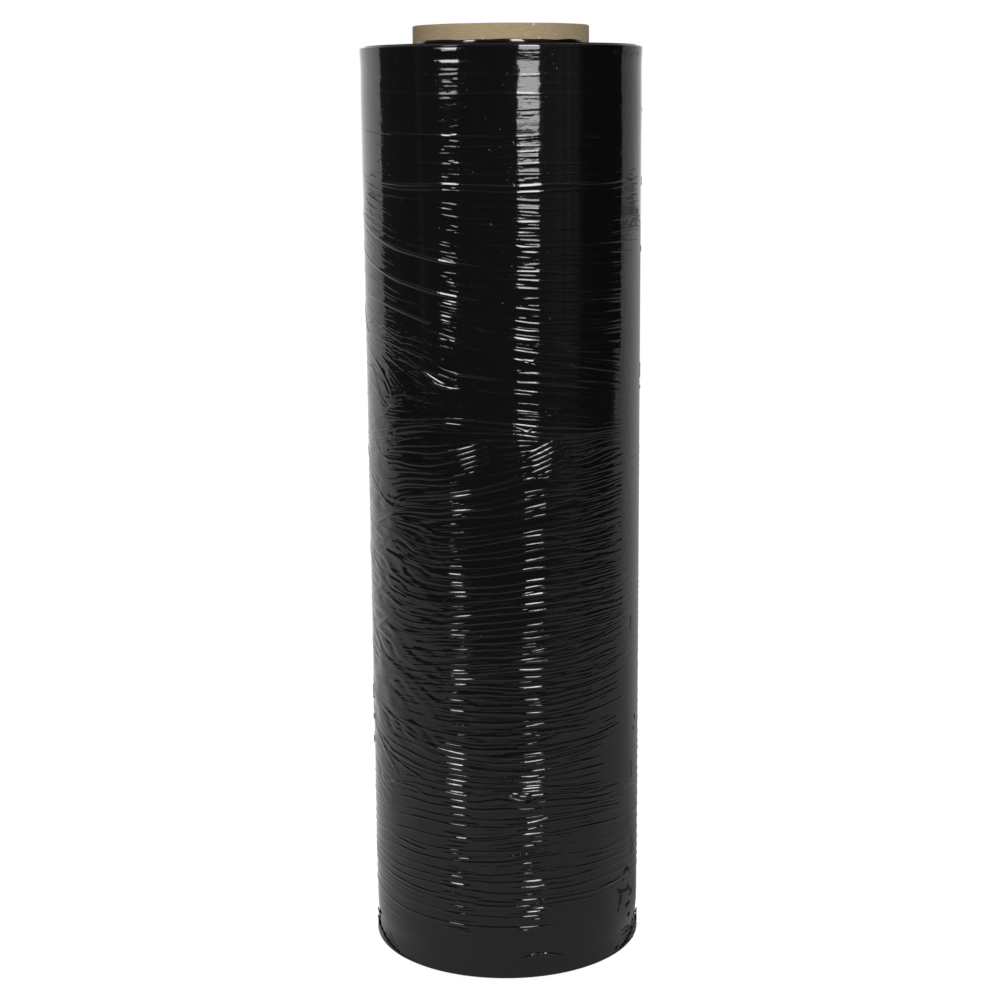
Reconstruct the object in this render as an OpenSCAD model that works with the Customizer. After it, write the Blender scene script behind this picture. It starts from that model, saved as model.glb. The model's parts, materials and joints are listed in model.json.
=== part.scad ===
// Roll of black stretch film wound on a cardboard core, standing on the core's lower rim.
// The roll's axis is Z. The origin is the middle of the lower rim, and the front looks along -Y.
// Angles round the roll are counted from the front, positive towards +X.

/* [Core] */
// Inside diameter of the cardboard core
core_bore_d = 76.2; // [60:0.1:84]
// Wall thickness of the core
core_wall = 4.9; // [3:0.1:7]
// Length of core that stands out past the film at each end
core_overhang = 9.5; // [4:0.5:25]
// Rounding of the core's cut rims
core_rim_r = 0.8; // [0.2:0.1:1.4]

/* [Film] */
// Width of the film, which is the height of the wound part
film_w = 457.2; // [380:0.2:520]
// Outside diameter of the wound film
film_d = 138; // [120:0.5:200]
// Clearance between the core and the first turn
wind_gap = 0.1; // [0.05:0.05:0.3]
// Height that the first turns stand out past the rest at the top
collar_h = 2.2; // [0.5:0.1:3.5]
// Thickness of those first turns
collar_t = 0.6; // [0.3:0.1:1.5]

/* [End faces] */
// Number of groups of turns that show as steps on the end faces
turn_groups = 9; // [4:1:14]
// Height of the tallest step between two groups
turn_step = 0.45; // [0.1:0.05:0.8]

/* [Outer wraps] */
// Thickness of the creased outer wraps
wrap_t = 3; // [3:0.1:5]
// How far the outer wraps sit back from the end faces
wrap_setback = 0.7; // [0.5:0.1:1.5]
// Rounding of the roll's two shoulders
shoulder_r = 2; // [0.5:0.1:2]
// Facets round the roll
skin_sides = 44; // [36:4:52]

/* [Creases] */
// Mean distance from one crease to the next
crease_pitch = 8.6; // [8:0.1:16]
// Depth of the deepest creases
crease_depth = 0.4; // [0.1:0.05:0.8]
// Height of the steep side of a crease
crease_fold = 1.3; // [0.6:0.1:2]
// How far the upper creases climb on the left
climb_left = 21; // [0:1:24]
// How far the middle creases sag left of the front
sag_middle = 9; // [0:1:14]
// How far the middle creases climb on the right
climb_right = 8; // [0:1:12]
// How far the lower creases dip on the left
dip_left = 8; // [0:1:10]
// How far the creases wander at the back
meander = 5; // [0:1:8]

/* [Hidden] */
$fn = 96;

core_r = core_bore_d / 2 + core_wall;
core_len = film_w + 2 * core_overhang;
film_r = film_d / 2;
film_z0 = core_overhang;
film_z1 = core_overhang + film_w;
turns_r0 = core_r + wind_gap;
turns_r1 = film_r - wrap_t;
// The wraps reach this far in under the turns that carry them.
wrap_root = 4;
core_colour = [0.67, 0.57, 0.44];
film_colour = [0.06, 0.06, 0.065];

// One where x is at the middle, falling off smoothly over the width
function swell(x, middle, width) = exp(-pow((x - middle) / width, 2));

// The same round the roll, where the shorter way round counts
function turned(a, middle) = abs(((a - middle + 540) % 360) - 180);
function swell_round(a, middle, width) = exp(-pow(turned(a, middle) / width, 2));

// Share of full strength that the sweeps keep near the two ends
function end_fade(t) = (1 - swell(t, 0, 0.09)) * (1 - swell(t, 1, 0.07));

// How far a crease at depth share t lies below its own level, at angle a round the roll
function sweep(a, t) = end_fade(t) * (
    -climb_left * swell_round(a, -88, 56) * swell(t, 0.27, 0.12)
    + sag_middle * swell_round(a, -38, 34) * swell(t, 0.46, 0.1)
    - climb_right * swell_round(a, 55, 32) * swell(t, 0.43, 0.07)
    + dip_left * swell_round(a, -48, 26) * swell(t, 0.74, 0.06)
    + meander * swell_round(a, 180, 70) * sin(2 * a + 900 * t)
);

span_z0 = wrap_setback + shoulder_r;
span = film_w - 2 * span_z0;
crease_count = floor(span / crease_pitch);

// Share of the width at which crease k lies. The creases are close in the middle and wider
// apart towards the two ends, and none is quite evenly spaced.
crowding = 0.05;
unevenness = 0.25;
function even_share(k) = (k + 0.5 + unevenness * sin(k * 137.5)) / crease_count;
function crease_share(k) = even_share(k) + crowding * sin(360 * even_share(k));

// Share of the full depth over the width of the film: calm at the top, rough from a third down
relief_table = [[0, 0.2], [0.11, 0.3], [0.15, 0.8], [0.3, 1], [0.37, 0.6], [0.45, 1], [0.75, 1], [0.9, 0.5], [1, 0.2]];

// Depth of crease k, which comes and goes round the roll
function fold_depth(k, a, t) =
    crease_depth * lookup(t, relief_table) * (0.6 + 0.4 * sin(a * (1 + k % 4) + k * 61));

// The shoulder is a quarter round of this many facets.
shoulder_rows = 3;
function shoulder_turn(k) = 90 * k / shoulder_rows;
function shoulder_row(k) = [
    film_r - shoulder_r + shoulder_r * sin(shoulder_turn(k)),
    wrap_setback + shoulder_r - shoulder_r * cos(shoulder_turn(k))
];

// Rows of the sleeve from the bottom up, each a list of [radius, height above the film's lower end].
// Each crease is a crest row and a valley row close to it, above it or below it by turns.
function ring(radius, height) = [for (j = [0 : skin_sides - 1]) [radius, height]];
function crease_row(k, side) = [
    for (j = [0 : skin_sides - 1])
        let (
            a = 360 * j / skin_sides,
            t = 1 - crease_share(k),
            valley = side == (k % 3 == 0 ? 0 : 1),
            level = span_z0 + span * crease_share(k) + (side - 0.5) * crease_fold
        )
        [film_r - (valley ? fold_depth(k, a, t) : 0), level - sweep(a, t)]
];
function flipped(row) = [for (p = row) [p[0], film_w - p[1]]];
wraps_r0 = turns_r1 - wrap_root;
skin_rows = concat(
    [ring(wraps_r0, wrap_setback)],
    [for (k = [0 : shoulder_rows]) ring(shoulder_row(k)[0], shoulder_row(k)[1])],
    [for (k = [0 : crease_count - 1]) for (side = [0, 1]) crease_row(k, side)],
    [for (k = [shoulder_rows : -1 : 0]) flipped(ring(shoulder_row(k)[0], shoulder_row(k)[1]))],
    [flipped(ring(wraps_r0, wrap_setback))]
);

function skin_point(p, j) = let (a = 360 * j / skin_sides) [
    p[0] * sin(a),
    -p[0] * cos(a),
    film_z0 + p[1]
];

// Outer wraps: a closed sleeve whose rows of facets follow the creases
module outer_wraps() {
    rows = len(skin_rows);
    points = [for (row = skin_rows) for (j = [0 : skin_sides - 1]) skin_point(row[j], j)];
    sides = [
        for (i = [0 : rows - 1]) for (j = [0 : skin_sides - 1])
            let (up = (i + 1) % rows, next = (j + 1) % skin_sides)
            for (face = [[i * skin_sides + j, up * skin_sides + j, up * skin_sides + next],
                         [i * skin_sides + j, up * skin_sides + next, i * skin_sides + next]])
                face
    ];
    polyhedron(points = points, faces = sides);
}

// Profile of one end face, from the collar out to the wraps, as [radius, height above the end]
group_w = (turns_r1 - turns_r0 - collar_t) / turn_groups;
function group_drop(k) = turn_step * (0.5 - 0.5 * sin(k * 140 + 50));
function end_steps(collar) = concat(
    [[turns_r0, collar], [turns_r0 + collar_t, collar]],
    [
        for (k = [0 : turn_groups - 1]) for (side = [0, 1])
            [turns_r0 + collar_t + (k + side) * group_w, -group_drop(k)]
    ]
);
function reversed(list) = [for (i = [len(list) - 1 : -1 : 0]) list[i]];

// Inner turns: a true revolve, so the bore and the steps of the end faces are round
module inner_turns() {
    top = [for (p = end_steps(collar_h)) [p[0], film_z1 + p[1]]];
    bottom = [for (p = end_steps(0)) [p[0], film_z0 - p[1]]];
    rotate_extrude()
        polygon(concat(bottom, reversed(top)));
}

// Half of the core's wall, rounded at its cut rims
module core_profile() {
    translate([core_bore_d / 2, core_rim_r])
        square([core_wall, core_len - 2 * core_rim_r]);
    translate([core_bore_d / 2 + core_rim_r, 0])
        square([core_wall - 2 * core_rim_r, core_len]);
    for (x = [core_bore_d / 2 + core_rim_r, core_r - core_rim_r])
        for (z = [core_rim_r, core_len - core_rim_r])
            translate([x, z])
                circle(r = core_rim_r, $fn = 32);
}

module core_tube() {
    color(core_colour)
        rotate_extrude()
            core_profile();
}

module film_roll() {
    color(film_colour)
        union() {
            inner_turns();
            outer_wraps();
        }
}

core_tube();
film_roll();
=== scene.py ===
"""Roll of black stretch film on a cardboard core, standing in a pale studio."""

import json
import math

import bpy
import numpy as np
from mathutils import Matrix, Vector


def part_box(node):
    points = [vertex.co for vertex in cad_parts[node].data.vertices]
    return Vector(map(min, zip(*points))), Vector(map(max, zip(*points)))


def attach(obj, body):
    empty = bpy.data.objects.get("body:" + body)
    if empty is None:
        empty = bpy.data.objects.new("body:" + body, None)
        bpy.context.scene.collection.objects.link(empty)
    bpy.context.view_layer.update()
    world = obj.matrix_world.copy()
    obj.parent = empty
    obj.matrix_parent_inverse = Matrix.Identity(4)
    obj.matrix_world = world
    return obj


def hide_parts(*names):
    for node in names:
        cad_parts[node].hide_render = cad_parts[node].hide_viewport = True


bl_info = {
    "name": "Stretch Wrap Roll",
    "version": (1, 0, 0),
    "blender": (4, 5, 0),
    "location": "3D View > Sidebar > Wrap Roll",
    "description": "Builds a creased roll of stretch film on a cardboard core",
    "category": "Object",
}

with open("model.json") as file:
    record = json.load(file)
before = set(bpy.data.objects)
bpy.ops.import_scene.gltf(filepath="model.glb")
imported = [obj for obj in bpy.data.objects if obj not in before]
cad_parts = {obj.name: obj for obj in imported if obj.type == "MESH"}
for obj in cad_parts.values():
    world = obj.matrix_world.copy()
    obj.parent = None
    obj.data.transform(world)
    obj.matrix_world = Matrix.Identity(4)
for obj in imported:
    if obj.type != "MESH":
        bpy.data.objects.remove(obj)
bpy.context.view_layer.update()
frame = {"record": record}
CORE_LOW, CORE_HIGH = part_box("core_tube")
FILM_LOW, FILM_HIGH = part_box("film_roll")
BORE = next(m for m in frame["record"]["mounts"] if m["name"] == "core_bore")

MM = 0.001
BORE_R = BORE["dims"]["r_mm"] * MM
CORE_R = CORE_HIGH.x
FILM_R = FILM_HIGH.x
CORE_TOP = CORE_HIGH.z
FILM_Z0 = FILM_LOW.z
FILM_Z1 = CORE_TOP - FILM_Z0
FILM_W = FILM_Z1 - FILM_Z0
COLLAR_H = FILM_HIGH.z - FILM_Z1
WIND_GAP = 0.1 * MM
FILM_IOR = 1.5
MM_PER_DEGREE = round(math.radians(1) * FILM_R / MM, 3)

# The photograph's camera, fitted to the outline of the roll and the core
EYE_DISTANCE = 0.9844
EYE_DROP = 0.02376
EYE_PITCH = 0.2030
EYE_YAW = 0.0022
EYE_ROLL = -0.0079
PHOTO_SIZE = 1000
PHOTO_FOCUS = 1965.6
SENSOR_WIDTH = 36
EYE_LENS = round(PHOTO_FOCUS * SENSOR_WIDTH / PHOTO_SIZE, 2)


class RollSizes(bpy.types.PropertyGroup):
    """Sizes of the parts of the roll that the frame doesn't give"""

    collar_t: bpy.props.FloatProperty(
        name="Collar thickness", description="Thickness of the first turns that stand proud at the top",
        default=0.6 * MM, min=0.2 * MM, max=2 * MM, unit="LENGTH", precision=5)
    wrap_t: bpy.props.FloatProperty(
        name="Wrap thickness", description="Thickness of the creased outer wraps",
        default=3 * MM, min=1 * MM, max=6 * MM, unit="LENGTH", precision=5)
    wrap_setback: bpy.props.FloatProperty(
        name="Wrap setback", description="How far the outer wraps sit back from the upper end face",
        default=0.7 * MM, min=0.1 * MM, max=2 * MM, unit="LENGTH", precision=5)
    lower_setback: bpy.props.FloatProperty(
        name="Lower setback", description="How far the outer wraps sit back from the lower end face",
        default=0.15 * MM, min=0.1 * MM, max=2 * MM, unit="LENGTH", precision=5)
    shoulder_r: bpy.props.FloatProperty(
        name="Shoulder rounding", description="Rounding of the roll's two shoulders",
        default=1.0 * MM, min=0.5 * MM, max=3 * MM, unit="LENGTH", precision=5)
    bead: bpy.props.FloatProperty(
        name="Edge bead", description="How far the film swells close to its edges",
        default=0.22 * MM, min=0, max=0.5 * MM, unit="LENGTH", precision=5)
    fold_scale: bpy.props.FloatProperty(
        name="Fold height", description="Scale of all the folds' heights",
        default=1.0, min=0, max=2)
    turn_relief: bpy.props.FloatProperty(
        name="Turn relief", description="Height of the steps between turns on the end faces",
        default=0.4 * MM, min=0, max=1 * MM, unit="LENGTH", precision=5)
    rim_round: bpy.props.FloatProperty(
        name="Rim rounding", description="Rounding of the core's cut rims",
        default=0.8 * MM, min=0.1 * MM, max=1.5 * MM, unit="LENGTH", precision=5)


class RollFinish(bpy.types.PropertyGroup):
    """Colours and gloss of the film and the core"""

    film_colour: bpy.props.FloatVectorProperty(
        name="Film", description="Colour of the film", subtype="COLOR", size=4,
        default=(0.0014, 0.0014, 0.0015, 1), min=0, max=1)
    film_roughness: bpy.props.FloatProperty(
        name="Film roughness", description="Roughness of the outer skin",
        default=0.07, min=0, max=1, subtype="FACTOR")
    edge_roughness: bpy.props.FloatProperty(
        name="Edge roughness", description="Roughness of the turns' edges on the end faces",
        default=0.3, min=0, max=1, subtype="FACTOR")
    torn_colour: bpy.props.FloatVectorProperty(
        name="Torn film", description="Colour of the torn bits of film", subtype="COLOR", size=4,
        default=(0.006, 0.006, 0.006, 1), min=0, max=1)
    board_colour: bpy.props.FloatVectorProperty(
        name="Board", description="Colour of the cardboard", subtype="COLOR", size=4,
        default=(0.285, 0.219, 0.126, 1), min=0, max=1)
    board_fibre: bpy.props.FloatVectorProperty(
        name="Board fibres", description="Colour of the darker fibres in the cardboard",
        subtype="COLOR", size=4, default=(0.15, 0.112, 0.062, 1), min=0, max=1)


class StudioSettings(bpy.types.PropertyGroup):
    """Camera and light"""

    eye_distance: bpy.props.FloatProperty(
        name="Eye distance", description="Distance of the eye from the roll's axis",
        default=EYE_DISTANCE, min=0.3, max=5, unit="LENGTH")
    eye_drop: bpy.props.FloatProperty(
        name="Eye drop", description="How far the eye is below the film's upper end face",
        default=EYE_DROP, min=-1, max=1, unit="LENGTH")
    eye_pitch: bpy.props.FloatProperty(
        name="Eye pitch", description="How far the camera looks down", default=EYE_PITCH,
        min=-1.5, max=1.5, unit="ROTATION")
    eye_yaw: bpy.props.FloatProperty(
        name="Eye yaw", description="How far the camera turns left", default=EYE_YAW,
        min=-1.5, max=1.5, unit="ROTATION")
    eye_roll: bpy.props.FloatProperty(
        name="Eye roll", description="How far the camera leans", default=EYE_ROLL,
        min=-1.5, max=1.5, unit="ROTATION")
    lens: bpy.props.FloatProperty(
        name="Lens", description="Focal length on a 36 mm wide picture",
        default=EYE_LENS, min=10, max=300)


def eye_matrix(distance, drop, pitch, yaw, roll):
    """Place and bearing of a camera that looks at the roll's front."""
    return (
        Matrix.Translation((0, -distance, FILM_Z1 - drop))
        @ Matrix.Rotation(yaw, 4, "Z")
        @ Matrix.Rotation(math.pi / 2 - pitch, 4, "X")
        @ Matrix.Rotation(roll, 4, "Z")
    )


def on_film(x, y):
    """Angle and depth at which a place in the photograph lies on the film."""
    eye = eye_matrix(EYE_DISTANCE, EYE_DROP, EYE_PITCH, EYE_YAW, EYE_ROLL)
    middle = PHOTO_SIZE / 2
    ray = eye.to_3x3() @ Vector(((x - middle) / PHOTO_FOCUS, (middle - y) / PHOTO_FOCUS, -1))
    start = eye.translation
    across = start.x * ray.x + start.y * ray.y
    square = ray.x**2 + ray.y**2
    short = start.x**2 + start.y**2 - FILM_R**2
    place = start + ray * ((-across - math.sqrt(max(across**2 - square * short, 0))) / square)
    return math.degrees(math.atan2(place.x, -place.y)), (FILM_Z1 - place.z) / MM


def rounded(angle, depth, digits=1):
    """A place on the film with its angle rounded to so many digits, and its depth to a tenth."""
    return round(angle, digits), round(depth, 1)


# Enlarged parts of the photograph in which places were picked: left and upper edge, enlargement
LOWER_RIGHT = (600, 850, 9)
LOWER_LEFT = (366, 880, 11)


# Places picked in the lower right part: a crease that climbs to the right, then the torn bits
CREASE_PICKS = ((4, 338), (60, 315), (120, 290), (180, 258), (215, 228))
CREASE_END_PICKS = ((222, 222), (262, 196), (310, 150))
DOT_PICKS = ((215, 272), (211, 262))
ARCH_PICKS = ((218, 226), (225, 190), (236, 158), (246, 144), (260, 160), (269, 202))
WAVE_PICKS = ((166, 352), (180, 372), (200, 382), (222, 372), (240, 368), (256, 340), (268, 352), (288, 350))
HOOK_PICKS = ((288, 350), (284, 378), (270, 402))
STEM_PICKS = ((186, 380), (186, 420), (180, 460), (178, 500), (168, 548))
FOOT_PICKS = ((270, 464), (254, 480), (236, 502))
RIM_PICKS = ((300, 780), (268, 812), (236, 838))

# Places picked in the lower left part: a curl of torn film and the rope under it
CURL_PICKS = ((130, 300), (138, 340), (150, 390))
ROPE_PICKS = ((188, 596), (222, 656), (258, 706), (300, 752), (372, 812), (460, 868))

# Ends of the fine bars in the left strip, picked in the whole photograph
FINE_BAR_PICKS = (
    ((433.3, 345), (456.7, 350)),
    ((430.8, 382.5), (448.3, 388.7)),
    ((436, 338.5), (452, 341.5)),
)


def picked(part, places, digits=1):
    """Places on the film, from places picked in an enlarged part of the photograph."""
    left, top, scale = part
    return [rounded(*on_film(left + x / scale, top + y / scale), digits) for x, y in places]


# How far a fine bar runs on past its two picked ends, in degrees and millimetres
PAST_ANGLE, PAST_DEPTH = 2, 0.4


def fine_bar(start, end):
    """A crossing fold that runs on a little past the two ends picked in the photograph."""
    (left, high), (right, low) = on_film(*start), on_film(*end)
    middle = rounded((left + right) / 2, (high + low) / 2, 0)
    first = rounded(left - PAST_ANGLE, high - PAST_DEPTH, 0)
    return 0.22, 0.45, first, middle, rounded(right + PAST_ANGLE, low + PAST_DEPTH, 0)


# Heights of the bars across the left strip, picked in the whole photograph, the first few finer
LEFT_BARS = (567.1, 574.5, 583, 701, 712, 724.5, 736.5, 815.6, 839.1, 898, 908)
FINER_BARS = 3
LEFT_STRIP_ANGLE = -20
LEFT_BAR_START, LEFT_BAR_END = -25, -16
LEFT_BAR_TILTS = (0.5, -0.3, 0.2, 0.0)


def left_bar(index, seen):
    """A crossing fold across the left strip, at a height picked in the photograph."""
    reach = EYE_DISTANCE - FILM_R * math.cos(math.radians(LEFT_STRIP_ANGLE))
    turn = math.atan((seen - PHOTO_SIZE / 2) / PHOTO_FOCUS) + EYE_PITCH
    depth = (EYE_DROP + reach * math.tan(turn)) / MM
    tilt = LEFT_BAR_TILTS[index % 4]
    height, width = (0.42, 0.5) if index < FINER_BARS else (0.54, 0.60)
    start = rounded(LEFT_BAR_START + index % 3, depth)
    return height, width, start, rounded(LEFT_BAR_END + index % 2, depth - tilt)


# A full turn in radians, as the waves take it
FULL_TURN = 6.28

# Places on the film are given by the angle from the front, positive to the right, in degrees, and
# by the depth below the film's upper end, in millimetres of its full width.
# Each row is one guide crease: its depth at the guide angles. The creases between run alike, and the
# level of a crease is its mean depth.
GUIDE_ANGLES = (-90, -70, -50, -30, -10, 15, 35, 60, 90)
GUIDE_CREASES = (
    (0, 0, 0, 0, 0, 0, 0, 0, 0),
    (39, 40, 41, 42, 42, 42, 42, 42, 42),
    (60, 62, 64.5, 64.5, 64.5, 64, 64.5, 63, 62),
    (64, 69, 75, 78, 81, 83, 83, 83, 83),
    (76, 81, 87, 92, 96, 98, 98, 98, 98),
    (93, 98, 107, 112, 117, 119, 120, 120, 120),
    (112, 116, 121, 126, 131, 137, 139, 139, 139),
    (122, 125, 129, 134, 141, 145, 148, 155, 160),
    (136, 139, 142.5, 148, 154, 157, 161, 167, 168),
    (151, 152, 163, 166, 166, 170, 173, 175, 176),
    (192, 187, 181, 176, 178, 182, 183, 183, 183),
    (203, 196, 191, 193, 187, 187, 187, 187, 187),
    (214, 206, 203, 202, 196, 190, 192, 189, 189),
    (226, 219, 215, 213, 208, 201, 201, 199, 199),
    (238, 229, 224, 225, 221, 216, 215, 213, 213),
    (256, 249, 252, 256, 256, 252, 251, 250, 250),
    (276, 269, 274, 272, 269, 267, 266, 265, 265),
    (308, 302, 300, 296, 293, 291, 290, 288, 288),
    (318, 313, 309, 307, 305, 306, 305, 302, 302),
    (323, 326, 331, 338, 340, 339, 337, 334, 334),
    (339, 343, 348, 351, 351, 351, 351, 352, 354),
    (373, 368, 362, 361, 362, 361, 364, 368, 371),
    (391, 388, 384, 384, 384, 381, 381, 384, 389),
    (413, 414, 415, 415, 416, 416, 417, 417, 421),
    (427, 428, 430, 430, 430, 430, 430, 431, 435),
    (457.2, 457.2, 457.2, 457.2, 457.2, 457.2, 457.2, 457.2, 457.2),
)

# How the creases change down the film: level, distance to the next crease, height of the folds,
# share of that height that they keep all round
CREASE_ZONES = (
    (0, 8.0, 0.03, 0.2),
    (33, 7.0, 0.05, 0.2),
    (40, 3.6, 0.09, 0.1),
    (62, 3.6, 0.13, 0.1),
    (70, 3.8, 0.16, 0.1),
    (138, 4.2, 0.19, 0.3),
    (150, 4.8, 0.17, 0.45),
    (166, 5.6, 0.14, 0.4),
    (182, 4.0, 0.18, 0.6),
    (196, 3.8, 0.21, 0.7),
    (214, 3.8, 0.24, 0.65),
    (260, 3.8, 0.28, 0.6),
    (345, 4.0, 0.36, 0.5),
    (400, 4.8, 0.38, 0.5),
    (435, 6.5, 0.32, 0.5),
    (446, 9.0, 0.03, 0.4),
)

# The strong crease that is full only on the left, and the levels between which half the creases fade there
LEFT_CREASE = 41.3
FADING_TOP, FADING_BOTTOM = 66, 150

# Single strong creases: level, height, half width in millimetres
STRONG_CREASES = (
    (14.6, 0.10, 0.4),
    (22.6, 0.20, 0.5),
    (LEFT_CREASE, 0.28, 0.6),
    (63.2, 0.38, 0.7),
    (65.6, 0.22, 0.5),
    (416.0, 0.40, 0.7),
    (430.0, 0.38, 0.7),
)

# Waves in which all the creases stray: turns round the roll, millimetres from wave to wave, swing
STRAY_WAVES = ((3, 70, 0.6), (5, 31, 0.4), (9, 22, 0.22), (14, 17, 0.12))

# Waves in which one crease strays from the run: fewest and most turns, swing in millimetres
SWAY_WAVES = ((2, 5, 0.35), (6, 10, 0.2), (11, 18, 0.09), (24, 40, 0.045))

# Places where the creases swerve: angle and depth of the middle, half width in degrees, half height
# and swing in millimetres, positive where they dip towards the right
SWERVES = (
    (-31, 153, 9, 11, 2.4),
    (38, 193, 9, 8, -1.4),
    (3, 363, 6, 4, 1.6),
    (-64, 162, 8, 9, 3.2),
    (-66, 215, 10, 9, 3.0),
    (-60, 240, 8, 8, -2.5),
    (-66, 272, 9, 8, -2.4),
    (-70, 330, 10, 9, 2.2),
    (-72, 358, 10, 8, 3.0),
)

# Patches of short wrinkles: lowest and highest angle, lowest and highest level, how many,
# lowest and highest half length in degrees, height, steepest tilt in millimetres per degree
WRINKLE_PATCHES = (
    (20, 60, 78, 150, 80, 6, 20, 0.08, 0.02),
    (20, 62, 182, 205, 36, 5, 14, 0.11, 0.06),
    (18, 68, 205, 345, 700, 2, 8, 0.16, 0.04),
    (20, 66, 345, 416, 200, 3, 10, 0.16, 0.04),
    (-15, 8, 290, 432, 150, 3, 12, 0.13, 0.02),
    (-16, 8, 66, 160, 50, 4, 12, 0.09, 0.02),
    (-60, -14, 205, 345, 190, 3, 12, 0.12, 0.07),
    (-84, -50, 66, 150, 30, 5, 16, 0.08, 0.05),
    (-84, -48, 140, 345, 200, 2, 9, 0.16, 0.30),
    (-84, -26, 345, 432, 130, 3, 12, 0.13, 0.06),
    (-58, -25, 143, 172, 70, 3, 11, 0.16, 0.45),
    (-60, -10, 176, 205, 50, 4, 14, 0.12, 0.06),
    (-14, 20, 66, 290, 110, 3, 10, 0.07, 0.03),
    (6, 14, 345, 434, 50, 3, 6, 0.36, 0.03),
    (-24, -17, 345, 434, 52, 3, 6, 0.36, 0.03),
    (-25, -16, 395, 436, 36, 3, 6, 0.42, 0.03),
    (5, 14, 10, 62, 15, 1.5, 5, 0.08, 0.06),
    (6, 14, 298, 346, 30, 3, 6, 0.36, 0.03),
    (-24, -17, 298, 346, 24, 3, 6, 0.34, 0.03),
    (6, 14, 198, 345, 42, 3, 6, 0.22, 0.04),
    (-24, -17, 200, 300, 44, 3, 6, 0.27, 0.04),
    (-24, -17, 80, 165, 30, 2, 5, 0.14, 0.08),
    (5, 14, 64, 150, 20, 2, 5, 0.12, 0.10),
    (-25, -16, 38, 160, 36, 1.5, 4, 0.13, 0.15),
    (-25, -16, 12, 38, 9, 0.8, 2, 0.09, 0.1),
    (37, 48, 26, 80, 16, 2, 5, 0.18, 0.05),
    (-60, 60, 8, 60, 70, 3, 10, 0.035, 0.02),
    (112, 248, 60, 440, 380, 5, 20, 0.15, 0.05),
)

# Patches that are calmer than their zone: lowest and highest angle, lowest and highest depth,
# share kept
CALM_PATCHES = (
    (-21, -3, 184, 199, 0.2),
    (7, 28, 184, 202, 0.25),
    (3, 17, 365.4, 368.6, 0.25),
    (57, 100, 0, 196, 0.12),
    (-88, -44, 205, 345, 0.55),
    (-100, -57, 0, 74, 0.25),
    (-45, 4, 165, 175, 0.15),
    (36, 66, 159, 181, 0.15),
    (42, 80, 338, 362, 0.15),
    (60, 90, 205, 340, 0.4),
    (18, 100, 420, 457, 0.15),
    (-100, 100, 438, 457, 0.1),
)

# Places where the film is crumpled: lowest and highest angle, lowest and highest depth,
# height in millimetres
CRUMPLED_PATCHES = (
    (-80, -52, 150, 178, 0.20),
    (-80, -50, 178, 212, 0.12),
    (-80, -30, 216, 262, 0.36),
    (-80, -28, 262, 342, 0.42),
    (-80, -56, 342, 378, 0.20),
    (-62, -48, 4, 140, 0.03),
    (-28, -14, 40, 150, 0.05),
)

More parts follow.
